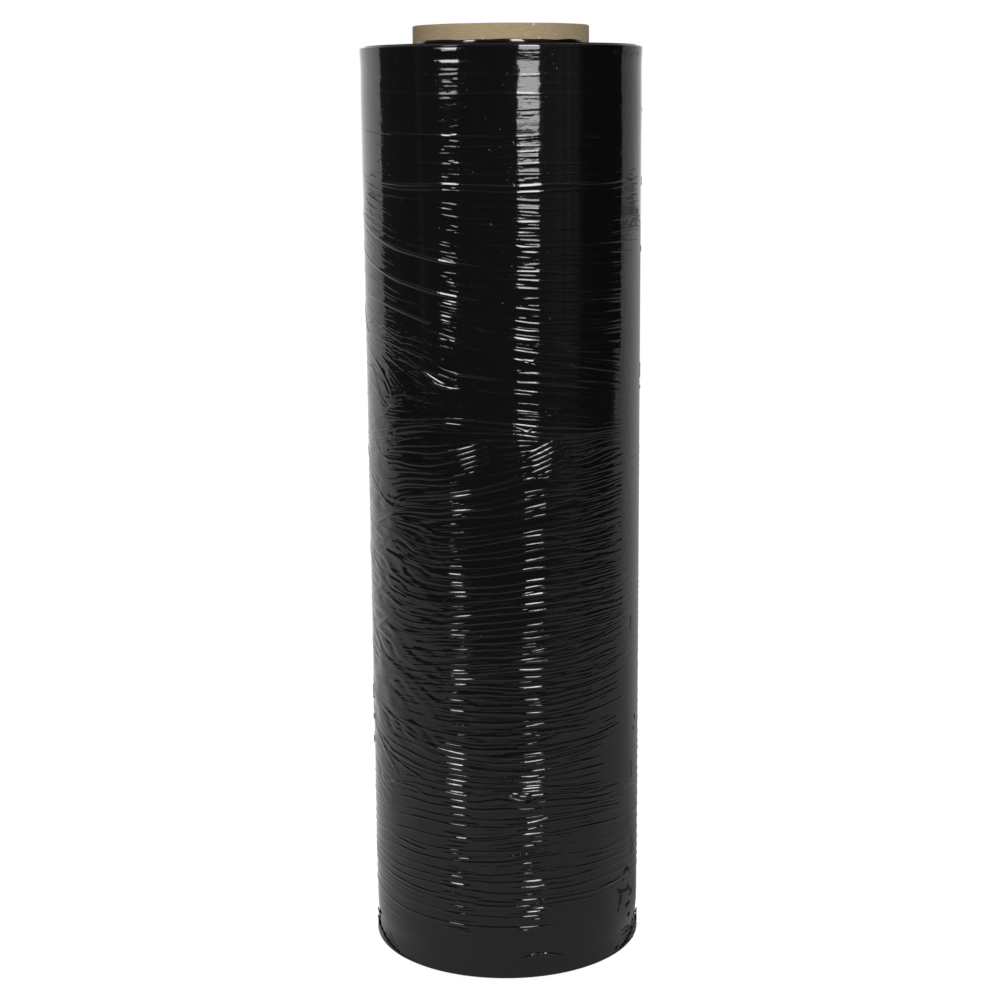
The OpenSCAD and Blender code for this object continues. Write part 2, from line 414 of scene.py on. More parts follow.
# Folds that cross the run of the creases: height, half width in millimetres, then angle and depth
# of each of their points
CROSSING_FOLDS = (
    (0.35, 0.9, (-86, 154), (-73, 154), (-65, 157), (-58, 160), (-54, 166)),
    (0.35, 0.8, (-72, 147), (-65, 150), (-59, 155), (-54, 161), (-52, 166)),
    (0.25, 0.5, (-57, 145), (-43, 153), (-31, 160)),
    (0.25, 0.5, (-52, 144), (-34, 152), (-22, 159)),
    (0.22, 0.5, (-57, 149), (-47, 158), (-40, 163)),
    (0.22, 0.5, (-47, 146), (-30, 152), (-20, 155)),
    (0.22, 0.5, (-55, 153), (-48, 160), (-44, 163)),
    *(fine_bar(*ends) for ends in FINE_BAR_PICKS),
    (0.20, 0.5, (-70, 181), (-58, 176), (-52, 170), (-47, 166)),
    (0.30, 0.8, (-68, 191), (-62, 196), (-52, 198)),
    (0.38, 0.9, (-84, 206), (-77, 208), (-68, 213), (-60, 218), (-52, 221)),
    (0.30, 0.8, (-86, 218), (-76, 222), (-66, 224)),
    (0.30, 0.7, (-69, 236), (-64, 230), (-55, 226)),
    (0.30, 0.7, (-64, 236), (-58, 244), (-46, 247)),
    (0.30, 0.8, (-86, 275), (-73, 269), (-62, 263)),
    (0.30, 0.8, (-74, 289), (-66, 284), (-54, 275)),
    (0.28, 0.7, (-67, 271), (-56, 273), (-43, 273)),
    (0.25, 0.5, (-53, 260), (-47, 257), (-41, 258), (-38, 261)),
    (0.25, 0.5, (-51, 263), (-46, 265), (-40, 263)),
    (0.38, 0.9, (-82, 322), (-72, 325), (-60, 328), (-47, 331), (-36, 337)),
    (0.30, 0.6, (-60, 328), (-48, 334), (-36, 338)),
    (0.60, 1.3, (-82, 338), (-74, 342), (-66, 347), (-58, 353), (-52, 359)),
    (0.40, 0.9, (-76, 342), (-66, 343), (-57, 347), (-47, 349), (-34, 351)),
    (0.35, 0.8, (-66, 347), (-55, 351), (-38, 356)),
    (0.45, 1.0, (-88, 330), (-80, 336), (-74, 341)),
    (0.28, 0.6, (-64, 356), (-52, 359)),
    (0.32, 0.7, (-86, 372), (-69, 368), (-55, 363), (-42, 362), (-31, 367)),
    (0.34, 0.7, (-60, 392), (-47, 393), (-34, 394)),
    (0.32, 0.7, (22, 361), (39, 365), (57, 366), (64, 370)),
    (0.26, 0.5, (30, 371), (48, 369), (60, 366)),
    (0.32, 0.8, (50, 383), (70, 386), (86, 385)),
    (0.25, 0.5, (-20, 189.5), (-13, 186.8), (-6, 183)),
    (0.25, 0.5, (-20, 192), (-12, 188.9), (-4, 184.6)),
    (0.25, 0.5, (-19, 194.4), (-11, 191.2), (-4, 187)),
    (0.25, 0.5, (-18, 196.6), (-11, 193.6), (-5, 190)),
    (0.22, 0.5, (-17, 198.6), (-11, 196), (-5, 193)),
    (0.22, 0.5, (-14, 199.8), (-9, 197.8), (-4, 195.2)),
    (0.25, 0.5, (9, 190.5), (16, 187), (24, 182.5)),
    (0.25, 0.5, (9, 193), (16.5, 189.4), (25, 184.8)),
    (0.25, 0.5, (9, 195.4), (17, 191.8), (26, 187)),
    (0.25, 0.5, (10, 197.6), (18, 194), (27, 189.4)),
    (0.25, 0.5, (11, 199.8), (19, 196.2), (28, 192)),
    (0.22, 0.5, (13, 201.6), (20, 198.6), (28, 195)),
    (0.22, 0.5, (15, 203.2), (21, 201), (28, 198)),
    (0.22, 0.55, (22, 193), (32, 189), (45, 187)),
    (0.22, 0.55, (28, 196), (38, 191), (52, 190)),
    (0.22, 0.55, (36, 200), (46, 196), (57, 193)),
    (0.22, 0.55, (40, 201), (50, 198), (60, 196)),
    (0.32, 0.5, (-3, 359.5), (4, 362.8), (10, 365)),
    (0.32, 0.5, (0, 358.2), (5, 360.8), (10, 363)),
    (0.32, 0.5, (-4, 362.2), (2, 364.6), (7, 366)),
    (0.32, 0.5, (4, 358), (8, 360.2), (12, 361.4)),
    (0.34, 0.5, (4, 366.5), (10, 364.5), (16, 360.5)),
    (0.50, 0.5, (4, 379.4), (10, 378.4), (16, 377)),
    (0.50, 0.5, (8, 375.6), (13, 374.6), (18, 373.2)),
    (0.50, 0.5, (5, 377.2), (10, 376.2), (15, 375)),
    (0.32, 0.5, (8, 375), (13, 377), (18, 380.2)),
    (0.45, 0.5, (2, 381.6), (17, 380.8)),
    (0.16, 0.5, (2, 176.4), (7, 178.6), (13, 181.6)),
    (0.16, 0.5, (3, 182.4), (8, 180.2), (13, 177.8)),
    (0.15, 0.5, (3, 144.6), (8, 146.4), (14, 148.6)),
    (0.15, 0.5, (3, 149), (8, 147.4), (14, 145)),
    (0.60, 0.6, (5, 447.6), (9, 445.6), (13, 444.6)),
    (0.60, 0.6, (11, 446.8), (15, 445), (19, 445.6), (25, 448)),
    (0.50, 0.55, (12, 443.8), (15, 445.4), (18, 448.6)),
    (0.50, 0.55, (15, 447.8), (17, 444.4), (18, 443.2)),
    (0.26, 1.7, (-25, 4.1), (-19, 3.9), (-13, 4.0)),
    (0.45, 0.9, (-89, 77), (-80, 82.5), (-66, 88), (-45, 95), (-25, 99.5), (-7, 102.5)),
    (0.45, 0.9, (-89, 93), (-80, 98.5), (-64, 104), (-45, 110), (-25, 115), (-7, 118.5)),
    (0.40, 0.8, (-73, 118.5), (-56, 121), (-42, 125), (-29, 129)),
    (0.40, 0.9, (-88, 133.5), (-78, 133), (-68, 131.5)),
    (0.45, 0.9, (-89, 124), (-82, 131), (-75, 138)),
    (0.45, 1.0, (-88, 196), (-80, 200), (-74, 206)),
    (0.45, 1.0, (-88, 246), (-80, 252), (-74, 255)),
    (0.40, 0.9, (-86, 296), (-76, 301), (-66, 303)),
    (0.07, 0.6, (-22, 12.6), (-16, 12.4)),
    (0.08, 0.6, (-19, 16.6), (-14, 16.8)),
    (0.08, 0.5, (-20, 22.8), (-16, 22.6)),
    (0.45, 0.5, (3, 387.4), (12, 387.0)),
    (0.42, 0.5, (3, 396.4), (11, 396.2)),
    (0.50, 0.55, (3, 401.4), (10, 401.4), (18, 400.6)),
    (0.50, 0.6, (2, 409.0), (12, 409.0), (22, 408.2)),
    (0.45, 0.5, (3, 415.8), (14, 415.6)),
    (0.40, 0.45, (12, 420.8), (21, 420.2)),
    (0.42, 0.5, (3, 431.6), (10, 431.4)),
    (0.42, 0.5, (3, 326.2), (10, 325.4), (17, 324.2)),
    (0.42, 0.5, (3, 330.2), (10, 329.2), (16, 328.4)),
    (0.42, 0.5, (4, 335.4), (10, 334.4), (17, 333.2)),
    (0.42, 0.5, (3, 344.4), (10, 343.6), (17, 342.8)),
    (0.10, 0.6, (14, 19.0), (18, 18.6), (25, 18.8)),
    (0.5, 0.6, *picked(LOWER_RIGHT, CREASE_PICKS, 0)),
    (0.45, 0.6, *picked(LOWER_RIGHT, CREASE_END_PICKS, 0), (86, 420.6)),
    *(left_bar(index, seen) for index, seen in enumerate(LEFT_BARS)),
)


def spread(x, middle, width):
    """One where x is at the middle, falling off smoothly over the width."""
    return np.exp(-(((x - middle) / width) ** 2))


def tent(x, middle, width):
    """One at the middle, falling off straight to nothing over the width, with a soft top."""
    return np.clip(1.1 - np.sqrt(((x - middle) / width) ** 2 + 0.01), 0, 1)


def inside(x, low, high, soft):
    """One between low and high and nothing outside, with soft ends."""
    return 1 / (1 + np.exp(-(x - low) / soft)) / (1 + np.exp((x - high) / soft))


def turn_from(angle, middle):
    """Angle from the middle, the shorter way round, in degrees."""
    return (angle - middle + 180) % 360 - 180


def smooth_round(values, step, width):
    """Values given round the whole roll, smoothed by a bell of that width in degrees."""
    reach = int(3 * width / step)
    bell = np.exp(-0.5 * (np.arange(-reach, reach + 1) * step / width) ** 2)
    padded = np.concatenate([values[..., -reach:], values, values[..., :reach]], axis=-1)
    return np.apply_along_axis(lambda row: np.convolve(row, bell / bell.sum(), "valid"), -1, padded)


class CreaseRun:
    """Turns a level and an angle into the depth at which the creases run there."""

    STEP = 1.0
    SMOOTHING = 5.0
    WANDER = 2.0

    def __init__(self):
        self.angles = np.arange(-180, 180, self.STEP)
        rows = []
        for index, guide in enumerate(GUIDE_CREASES):
            row = np.interp(self.angles, GUIDE_ANGLES, guide, period=360)
            back = spread(turn_from(self.angles, 180), 0, 55)
            between = 0 < index < len(GUIDE_CREASES) - 1
            row += between * self.WANDER * back * np.sin(np.radians(2 * self.angles + 47 * index))
            rows.append(row)
        self.rows = smooth_round(np.array(rows), self.STEP, self.SMOOTHING)
        self.levels = np.array(GUIDE_CREASES, float).mean(axis=1)

    def depth(self, levels, angles):
        """Depths for a column of levels and a row of angles."""
        at_angles = np.array([np.interp(angles, self.angles, row, period=360) for row in self.rows])
        plain = np.array([np.interp(levels, self.levels, column) for column in at_angles.T]).T
        return plain + self.wander(plain, np.asarray(angles)[None, :])

    @staticmethod
    def wander(depth, angles):
        """How far the creases stray up and down at a place, in millimetres; nothing at the two ends."""
        rng = np.random.default_rng(23)
        stray = np.zeros(np.broadcast(depth, angles).shape)
        for turns, wave, swing in STRAY_WAVES:
            phase, slant = rng.uniform(0, FULL_TURN, 2)
            bearing = np.radians(angles) * turns
            stray = stray + swing * np.sin(bearing + phase) * np.sin(FULL_TURN * depth / wave + slant)
        left = 1 + 1.3 * inside(turn_from(angles, 0), -95, -44, 4) * inside(depth, 140, 350, 8)
        for angle, level, half, high, swing in SWERVES:
            off = turn_from(angles, angle) / half
            down = (depth - level) / (0.6 * high)
            stray = stray + swing * off * np.exp(0.5 - 0.5 * off**2) * np.exp(-0.5 * down**2)
        return stray * left * inside(depth, 72, 432, 9)


class Folds:
    """All the folds of the skin, as heights over the plain roll in millimetres."""

    END_MARGIN = 9.0
    STRONG_MARGIN = 2.0

    def __init__(self):
        rng = np.random.default_rng(11)
        zone_level, zone_pitch, zone_height, zone_kept = np.array(CREASE_ZONES).T
        self.long = [(*strong, rng.uniform(0, 99), 0.8, self.sway(rng)) for strong in STRONG_CREASES]
        taken = [level for level, _, _ in STRONG_CREASES]
        level = self.END_MARGIN
        while level < FILM_W / MM - self.END_MARGIN:
            if min(abs(level - other) for other in taken) > self.STRONG_MARGIN:
                height = np.interp(level, zone_level, zone_height) * rng.uniform(0.75, 1.2)
                kept = np.interp(level, zone_level, zone_kept)
                self.long.append((
                    level, height, rng.uniform(0.42, 0.62), rng.uniform(0, 99), kept, self.sway(rng),
                ))
            level += np.interp(level, zone_level, zone_pitch) * rng.uniform(0.6, 1.4)
        self.short = []
        for low, high, top, bottom, count, least, most, height, tilt in WRINKLE_PATCHES:
            for _ in range(count):
                self.short.append((
                    rng.uniform(low, high), rng.uniform(top, bottom), rng.uniform(least, most),
                    height * rng.uniform(0.4, 1.3), rng.uniform(0.35, 0.55), rng.uniform(-tilt, tilt),
                ))

    @staticmethod
    def sway(rng):
        """Waves in which one crease strays from the run: turns, phase and height in millimetres."""
        return [
            (rng.integers(low, high), rng.uniform(0, FULL_TURN), height * rng.uniform(0.5, 1.3))
            for low, high, height in SWAY_WAVES
        ]

    @staticmethod
    def strength(angles, seed, low):
        """Strength of a long crease round the roll, between low and about one."""
        turns = np.radians(angles)
        slow, quick = 1 + int(seed) % 3, 4 + int(seed * 7) % 7
        wave = 0.5 + 0.3 * np.sin(slow * turns + seed) + 0.3 * np.sin(quick * turns + 2.3 * seed)
        return np.clip(low + (1 - low) * wave, 0, 1.15)

    @staticmethod
    def crumple(angles, depth):
        """Irregular hollows of crumpled film, longer than they are high."""
        rng = np.random.default_rng(7)
        x, y = 0.75 * angles, depth
        waves = np.zeros(np.broadcast(x, y).shape)
        for _ in range(12):
            slope, size, phase = rng.uniform(-1.1, 1.1), rng.uniform(7, 18), rng.uniform(0, FULL_TURN)
            waves += np.sin(FULL_TURN * (x * math.sin(slope) + y * math.cos(slope)) / size + phase)
        crest = 0.5 + 0.5 * np.sin(0.8 * waves)
        height = np.zeros(waves.shape)
        for low, high, top, bottom, most in CRUMPLED_PATCHES:
            patch = inside(angles, low, high, 1.5) * inside(depth, top, bottom, 2.5)
            height = np.maximum(height, most * patch)
        return height * crest

    def heights(self, levels, angles, depth):
        """Heights on a grid: a level for each row, an angle for each column, a depth for each point."""
        total = np.zeros(depth.shape)
        # Where the rows are spread out, a fold keeps its width.
        stretch = np.clip(np.gradient(depth, levels, axis=0), 0.75, 3)
        for level, height, width, seed, low, sway in self.long:
            if level == LEFT_CREASE:
                height = height * (0.3 + 0.7 * inside(angles, -95, -8, 4))
            if FADING_TOP < level < FADING_BOTTOM and int(seed) % 2:
                height = height * (1 - 0.85 * inside(turn_from(angles, 0), -110, -28, 5))
            rows = np.flatnonzero(np.abs(levels - level) < 1.6 * width + 1)
            if len(rows):
                path = level + sum(
                    far * np.sin(np.radians(angles) * turns + phase) for turns, phase, far in sway)
                ridge = tent((levels[rows][:, None] - path[None, :]) * stretch[rows], 0, width)
                total[rows] += ridge * (height * self.strength(angles, seed, low))[None, :]
        for angle, level, half, height, width, tilt in self.short:
            columns = np.flatnonzero(np.abs(turn_from(angles, angle)) < 1.6 * half)
            rows = np.flatnonzero(np.abs(levels - level) < 1.6 * width + 1.6 * half * abs(tilt))
            if len(rows) and len(columns):
                off = turn_from(angles[columns], angle)
                here = np.ix_(rows, columns)
                across = (levels[rows][:, None] - level - tilt * off[None, :]) * stretch[here]
                fade = np.clip(1 - (off / (1.5 * half)) ** 2, 0, 1) ** 1.5
                total[here] += height * tent(across, 0, width) * fade[None, :]
        for low, high, top, bottom, kept in CALM_PATCHES:
            patch = inside(angles, low, high, 2.0)[None, :] * inside(depth, top, bottom, 1.5)
            total *= 1 - (1 - kept) * patch
        total += self.crumple(angles[None, :], depth)
        for height, width, *points in CROSSING_FOLDS:
            turns, depths = np.array(points, float).T
            columns = np.flatnonzero((angles > turns[0] - 1) & (angles < turns[-1] + 1))
            middle = np.interp(angles[columns], turns, depths)
            slope = np.gradient(middle) / np.gradient(angles[columns]) / MM_PER_DEGREE
            share = (angles[columns] - turns[0]) / (turns[-1] - turns[0])
            fade = np.clip(4 * share * (1 - share), 0, 1) ** 0.4
            across = (depth[:, columns] - middle) / np.hypot(1, slope)
            total[:, columns] += height * tent(across, 0, width) * fade
        return total


def only_this(piece):
    """Selects one object and nothing else."""
    bpy.ops.object.select_all(action="DESELECT")
    piece.select_set(True)
    bpy.context.view_layer.objects.active = piece


def points_of(mesh):
    """The mesh's points, as rows of x, y and z."""
    flat = np.empty(len(mesh.vertices) * 3)
    mesh.vertices.foreach_get("co", flat)
    return flat.reshape(-1, 3)


def finish_mesh(piece, merge):
    """Joins points that meet, where asked, turns the faces outwards and shades them smoothly."""
    only_this(piece)
    bpy.ops.object.mode_set(mode="EDIT")
    bpy.ops.mesh.select_all(action="SELECT")
    if merge:
        bpy.ops.mesh.remove_doubles(threshold=1e-7)
    bpy.ops.mesh.normals_make_consistent(inside=False)
    bpy.ops.object.mode_set(mode="OBJECT")
    bpy.ops.object.shade_smooth()


def flat_grid(name, columns, rows):
    """A flat grid of that many columns and rows of faces, one metre on a side."""
    bpy.ops.object.select_all(action="DESELECT")
    bpy.ops.mesh.primitive_grid_add(x_subdivisions=columns, y_subdivisions=rows, size=1)
    grid = bpy.context.object
    grid.name = name
    return grid


def wound_sheet(name, radius, angles, height):
    """A grid wound round the Z axis: an angle for each column, a radius and a height for each point.

    Its side edges meet in a seam, and its last row meets its first.
    """
    rows, columns = radius.shape
    piece = flat_grid(name, columns, rows)
    mesh = piece.data
    mesh.name = name
    x, y, _ = points_of(mesh).T
    column = np.rint((x + 0.5) * columns).astype(int) % columns
    row = np.rint((y + 0.5) * rows).astype(int) % rows
    turns = np.radians(angles[column])
    out = radius[row, column]
    places = np.stack([out * np.sin(turns), -out * np.cos(turns), height[row, column]], axis=1)
    mesh.vertices.foreach_set("co", places.ravel())
    mesh.update()
    finish_mesh(piece, merge=True)
    return piece


# How close together the skin's columns and rows lie: angle or level, and how many there are up to it
SKIN_COLUMNS = (
    (-180, 0), (-90, 30), (-45, 92), (-21, 120), (-3, 152), (8, 163), (27, 199), (60, 235), (90, 264),
    (180, 294),
)
SKIN_ROWS = (
    (1.9, 0), (8, 24), (38, 84), (62, 164), (150, 454), (165, 514), (181, 594), (198, 674), (432, 1406),
    (455.3, 1460),
)
LAST_ROW = SKIN_ROWS[-1][1]
SLEEVES = ("top", "upper", "middle", "lower", "bottom")

# Room that the folds have under the roll's outline: level, millimetres
FOLD_ROOM = (
    (0, 0.02), (8, 0.02), (12, 0.1), (36, 0.1), (44, 0.2), (58, 0.2), (70, 0.3), (440, 0.3), (457, 0.24),
)

# Places where they have more: lowest and highest angle and the softness of these bounds, lowest and
# highest depth and the softness of these, millimetres
ROOMY_PATCHES = (
    (-95, -34, 4, 74, 440, 4, 0.2),
    (-26, -12, 0.8, 0.5, 8.2, 0.25, 0.24),
    (-28, -13, 1.5, 308, 438, 4, 0.11),
    (1, 19, 1.5, 398, 438, 4, 0.14),
    (5, 27, 1.5, 441.5, 450, 1, 0.3),
)

# Swell of the film close to its edges: distance from the edge in millimetres, share of the bead
EDGE_SWELL = ((0, -0.1), (2.2, 0), (3.2, -0.05), (8.0, -1.2), (9.5, -1.25), (24, -0.5), (60, 0))


def fold_room(levels, depth, angles):
    """How much room the folds have under the roll's outline at each point, in millimetres."""
    front = turn_from(angles, 0)[None, :]
    more = 0.5 * inside(depth, 444, 470, 1.5) * (1 - inside(front, -40, 54, 3))
    for low, high, side_soft, top, bottom, end_soft, room in ROOMY_PATCHES:
        more += room * inside(front, low, high, side_soft) * inside(depth, top, bottom, end_soft)
    return np.interp(levels, *np.array(FOLD_ROOM).T)[:, None] + more


def film_skin(sizes, name, first, last):
    """A closed sleeve of the outer wraps, between two of the skin's rows, which follow the creases."""
    run, folds = CreaseRun(), Folds()
    columns = SKIN_COLUMNS[-1][1]
    angles = np.interp(np.arange(columns), *np.array(SKIN_COLUMNS)[:, ::-1].T)
    # One more row on either side, so that neighbouring sleeves meet at the same heights
    rows = np.arange(max(first - 1, 0), min(last + 1, LAST_ROW) + 1)
    mine = slice(first - rows[0], last - rows[0] + 1)
    levels = np.interp(rows, *np.array(SKIN_ROWS)[:, ::-1].T)
    depth = run.depth(levels, angles)
    fold = folds.heights(levels, angles, depth)[mine] * sizes.fold_scale
    levels, depth = levels[mine], depth[mine]
    room = fold_room(levels, depth, angles)
    fold = np.where(fold > 0, room * np.tanh(fold / room / 1.1) * 1.1, fold)

    # The film swells a little close to its two edges, and then turns over the shoulder.
    width, film_r = FILM_W / MM, FILM_R / MM
    swell = np.interp(np.minimum(depth, width - depth), *np.array(EDGE_SWELL).T)
    out = np.minimum(film_r - room + fold + sizes.bead / MM * swell, film_r)
    shoulder = sizes.shoulder_r / MM
    turns = np.radians(np.linspace(0, 80, 9))
    ring = np.ones(columns)
    inner = (film_r - sizes.wrap_t / MM + 0.02) * ring

    def shoulder_rows(setback):
        """Radius and distance from the film's end for each row, from the inside out."""
        r = [inner] + [(film_r - shoulder + shoulder * math.sin(t)) * ring for t in turns]
        d = [setback * ring] + [(setback + shoulder - shoulder * math.cos(t)) * ring for t in turns]
        return r, d

    top_r, top_d, low_r, low_d = [inner], [depth[0]], [inner], [depth[-1]]
    seams = [0, -1]
    if first == 0:
        top_r, top_d = shoulder_rows(sizes.wrap_setback / MM)
        seams.remove(0)
    if last == LAST_ROW:
        low_r, low_d = shoulder_rows(sizes.lower_setback / MM)
        low_d = [width - row for row in low_d]
        seams.remove(-1)
    radius = np.vstack([top_r, out, low_r[::-1]]) * MM
    height = FILM_Z1 - np.vstack([top_d, depth, low_d[::-1]]) * MM
    skin = wound_sheet(name, radius, angles, height)
    sharpen_rings(skin, angles, [(out[row] * MM, FILM_Z1 - depth[row] * MM) for row in seams])
    add_flow(skin, run)
    return skin


def sharpen_rings(piece, angles, rings):
    """Marks the edges of some rings as sharp, so that the skin and its hidden end faces are shaded apart."""
    mesh = piece.data
    x, y, z = points_of(mesh).T
    places = np.interp(np.degrees(np.arctan2(x, -y)), np.append(angles, 180), np.arange(len(angles) + 1))
    column = np.rint(places).astype(int) % len(angles)
    marked = np.zeros(len(x), bool)
    for radius, height in rings:
        off = np.maximum(np.abs(np.hypot(x, y) - radius[column]), np.abs(z - height[column]))
        marked |= off < 1e-6
    ends = np.empty(len(mesh.edges) * 2, int)
    mesh.edges.foreach_get("vertices", ends)
    sharp = mesh.attributes.new("sharp_edge", "BOOLEAN", "EDGE")
    sharp.data.foreach_set("value", marked[ends.reshape(-1, 2)].all(axis=1))


# Strength of the fine wrinkles down the film: depth, share
RUFFLE = ((0, 0.4), (38, 0.4), (60, 0.25), (150, 0.3), (200, 0.9), (430, 1.0), (440, 0.3))
LEAST_RUFFLE = 0.25


def add_flow(skin, run):
    """Stores where each point lies along and across the creases, for the fine wrinkles."""
    mesh = skin.data
    x, y, z = points_of(mesh).T
    angles = np.degrees(np.arctan2(x, -y))
    depth = (FILM_Z1 - z) / MM
    step = 2.0
    grid = np.arange(-180, 181, step)
    levels = np.arange(0, FILM_W / MM, step)
    table = run.depth(levels, grid)
    place = (angles + 180) / step
    left = np.clip(np.floor(place).astype(int), 0, len(grid) - 2)
    share = place - left
    level = np.empty(len(angles))
    for column in range(len(grid) - 1):
        mine = np.flatnonzero(left == column)
        low = np.interp(depth[mine], table[:, column], levels)
        high = np.interp(depth[mine], table[:, column + 1], levels)
        level[mine] = low * (1 - share[mine]) + high * share[mine]
    flow = np.stack([x, y, -level * MM], axis=1)
    layer = mesh.attributes.new("flow", "FLOAT_VECTOR", "POINT")
    layer.data.foreach_set("vector", flow.ravel())
    ruffle = np.interp(depth, *np.array(RUFFLE).T)
    ruffle *= 1 + 0.9 * inside(angles, -95, -50, 3) * inside(depth, 145, 350, 6)
    for low, high, top, bottom, kept in CALM_PATCHES:
        patch = inside(angles, low, high, 2.0) * inside(depth, top, bottom, 1.5)
        ruffle *= 1 - (1 - max(kept, LEAST_RUFFLE)) * patch
    shade_points(skin, "ruffle", ruffle)


TURN_PITCH = 0.35 * MM
TURN_GROUP = 2.6 * MM


def film_turns(sizes):
    """The inner turns: a ring whose end faces show the edges of the turns."""
    columns = 160
    rng = np.random.default_rng(5)
    bore = CORE_R + WIND_GAP
    outside = FILM_R - sizes.wrap_t
    radii = np.arange(bore + TURN_PITCH, outside, TURN_PITCH)
    angles = np.linspace(-180, 180, columns, endpoint=False)

    def end_face():
        """Radius and height above the end for each row, from the bore out."""
        groups = np.floor((radii - bore) / TURN_GROUP)
        drop = sizes.turn_relief * (0.5 - 0.5 * np.sin(np.radians(groups * 140 + 50)))
        fine = rng.uniform(0, 0.25, len(radii)) * sizes.turn_relief
        wave = 0.12 * sizes.turn_relief * (np.sin(np.radians(angles)[None, :] * 2 + groups[:, None]) - 1)
        face = wave - (drop + fine)[:, None]
        r = np.concatenate([[bore], radii, [outside]])
        h = np.vstack([face[:1], face, face[-1:]])
        return np.repeat(r[:, None], columns, axis=1), h

    top_r, top_h = end_face()
    low_r, low_h = end_face()
    radius = np.vstack([low_r, top_r[::-1]])
    height = np.vstack([FILM_Z0 - low_h, FILM_Z1 + top_h[::-1]])
    return wound_sheet("film_turns", radius, angles, height)


def film_collar(sizes):
    """The first turns, which stand out past the rest at the top, higher at the front."""
    columns = 180
    angles = np.linspace(-180, 180, columns, endpoint=False)
    inner, outer = CORE_R + 1.2 * WIND_GAP, CORE_R + WIND_GAP + sizes.collar_t
    front = np.maximum(inside(angles, -61.5, 62.5, 1.5), 0.5 * inside(np.abs(angles), 100, 400, 8))
    uneven = 0.07 * np.sin(np.radians(angles) * 7 + 1) + 0.05 * np.sin(np.radians(angles) * 17)
    lip = COLLAR_H * np.clip(0.1 + 0.83 * front + uneven * front, 0.08, 1)
    soft = 0.12 * MM
    root = np.full(columns, -1.2 * MM)
    rows = [
        (inner, root), (inner, lip - soft), (inner + soft, lip), (outer - soft, lip),
        (outer, lip - soft), (outer - 0.06 * MM, lip * 0.5), (outer, root),
    ]
    radius = np.array([np.full(columns, out) for out, _ in rows])
    height = FILM_Z1 + np.array([rise for _, rise in rows])
    return wound_sheet("film_collar", radius, angles, height)


